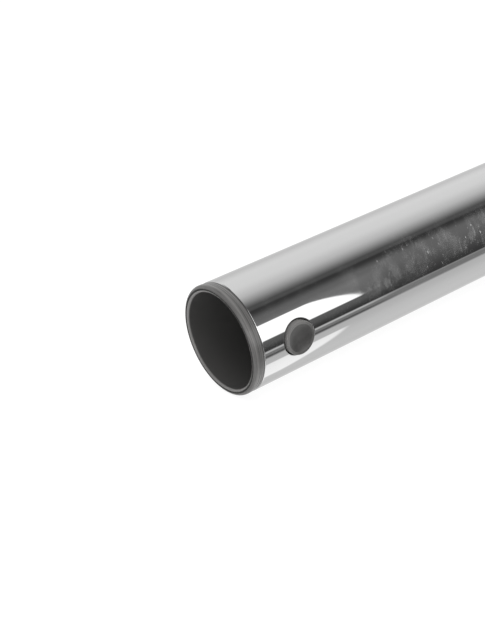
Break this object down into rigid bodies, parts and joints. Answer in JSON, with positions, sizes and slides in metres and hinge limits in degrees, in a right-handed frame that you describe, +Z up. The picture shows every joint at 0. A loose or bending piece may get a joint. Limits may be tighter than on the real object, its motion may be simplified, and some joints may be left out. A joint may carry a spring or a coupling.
{
  "type": "telescopic vacuum wand",
  "caption": "Chromed two-tube telescopic suction wand with a push-button handle socket and a sliding-release length lock.",
  "frame": {"origin": "centre of the handle socket's mouth, on the wand's axis", "axes": "+X along the wand from the handle end to the tool end, +Z up; the lock button and release slider face -Y"},
  "size_m": [0.595, 0.0542, 0.0436],
  "materials": {
    "bright_chrome": "mirror chrome plate",
    "tube_chrome": "bright chrome plate",
    "black_moulding": "fine matte moulding",
    "button_moulding": "satin moulding",
    "spring_steel": "bright spring steel",
    "grey_moulding": "natural moulding",
    "felt": "wool felt",
    "collar_moulding": "fine spark texture",
    "cover_moulding": "fine spark texture",
    "screw_steel": "zinc plate",
    "soft_rubber": "soft matte",
    "ring_moulding": "satin gloss",
    "slider_moulding": "satin moulding",
    "carrier_moulding": "natural acetal",
    "pin_steel": "ground steel"
  },
  "bodies": {
    "wand": {"outer_tube": "bright_chrome", "socket_liner": "black_moulding", "button_spring": "spring_steel", "guide_sleeve": "grey_moulding", "wiper_seal": "felt", "collar_body": "collar_moulding", "collar_cover": "cover_moulding", "cover_screws": "screw_steel", "tail_ring": "soft_rubber", "nose_ring": "ring_moulding", "slider_spring_left": "spring_steel", "slider_spring_right": "spring_steel"},
    "inner": {"inner_tube": "tube_chrome", "piston_bush": "grey_moulding", "piston_seal": "felt"},
    "slider": {"release_slider": "slider_moulding", "thumb_pad": "soft_rubber"},
    "lock": {"lock_carrier": "carrier_moulding", "lock_pin": "pin_steel"},
    "button": {"lock_button": "button_moulding"}
  },
  "joints": [
    {"name": "telescope", "type": "slide", "parent": "wand", "child": "inner", "axis": [1, 0, 0], "range_m": [0, 0.36]},
    {"name": "slider_push", "type": "slide", "parent": "wand", "child": "slider", "axis": [1, 0, 0], "range_m": [0, 0.0065], "stiffness_N_per_m": 600, "springref_m": -0.003, "deforming": ["slider_spring_left", "slider_spring_right"]},
    {"name": "lock_lift", "type": "slide", "parent": "wand", "child": "lock", "axis": [0, -1, 0], "range_m": [0, 0.0019]},
    {"name": "button_press", "type": "slide", "parent": "wand", "child": "button", "axis": [0, 1, 0], "range_m": [0, 0.0016], "stiffness_N_per_m": 1500, "springref_m": -0.001, "deforming": ["button_spring"]}
  ],
  "couplings": [
    {"joint": "lock_lift", "follows": "slider_push", "ratio": 0.29231}
  ]
}
